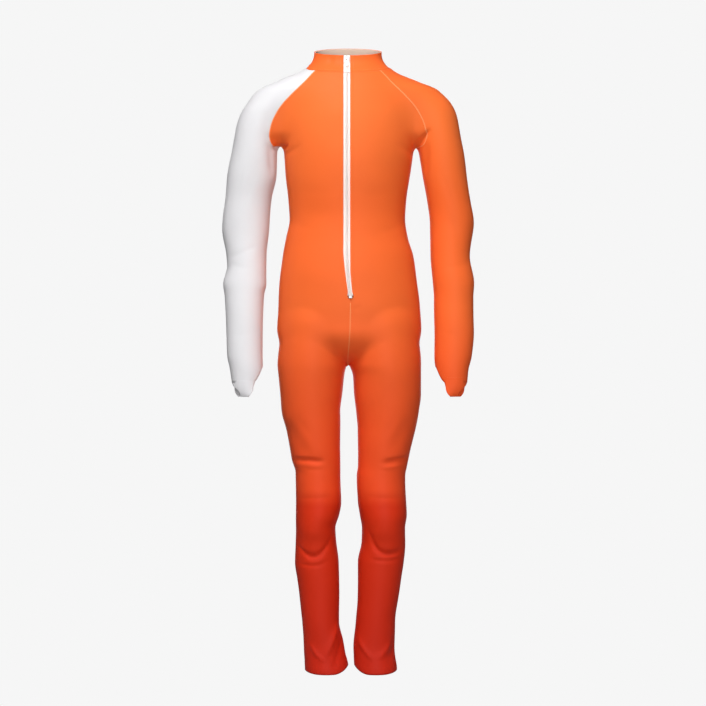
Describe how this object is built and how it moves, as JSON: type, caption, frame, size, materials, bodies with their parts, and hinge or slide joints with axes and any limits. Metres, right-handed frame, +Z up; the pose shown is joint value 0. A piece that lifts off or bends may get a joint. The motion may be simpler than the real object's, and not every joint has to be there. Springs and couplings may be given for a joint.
{
  "type": "ski race suit",
  "caption": "Junior one-piece ski race suit, filled out and empty, with stand collar, front zip and one white sleeve.",
  "frame": {"origin": "base of the neck, midway between the shoulders, where the wearer holds the suit", "axes": "+Z up, the front of the suit faces -Y, the wearer's right arm is at -X"},
  "size_m": [0.476, 0.1954, 1.1888],
  "materials": {
    "orange_laminate": "satin",
    "white_laminate": "satin",
    "white_lining": "matte",
    "white_zip_tape": "matte",
    "white_zip_coil": "gloss",
    "zip_metal": "satin"
  },
  "bodies": {
    "suit": {"front_right": "orange_laminate", "front_left": "orange_laminate", "back_right": "orange_laminate", "back_left": "orange_laminate", "sleeve_right": "white_laminate", "sleeve_left": "orange_laminate", "finger_loop_right": "white_laminate", "finger_loop_left": "orange_laminate", "collar": "orange_laminate", "collar_lining": "white_lining", "zip_tape_right": "white_zip_tape", "zip_tape_left": "white_zip_tape", "zip_chain": "white_zip_coil", "zip_stop": "zip_metal", "zip_slider": "zip_metal"},
    "pull": {"zip_pull": "zip_metal"}
  },
  "joints": [
    {"name": "pull_swing", "type": "hinge", "parent": "suit", "child": "pull", "pos_m": [-0.002, -0.05505, 0.01356], "axis": [-1, 0, 0], "range_deg": [0, 150]}
  ]
}
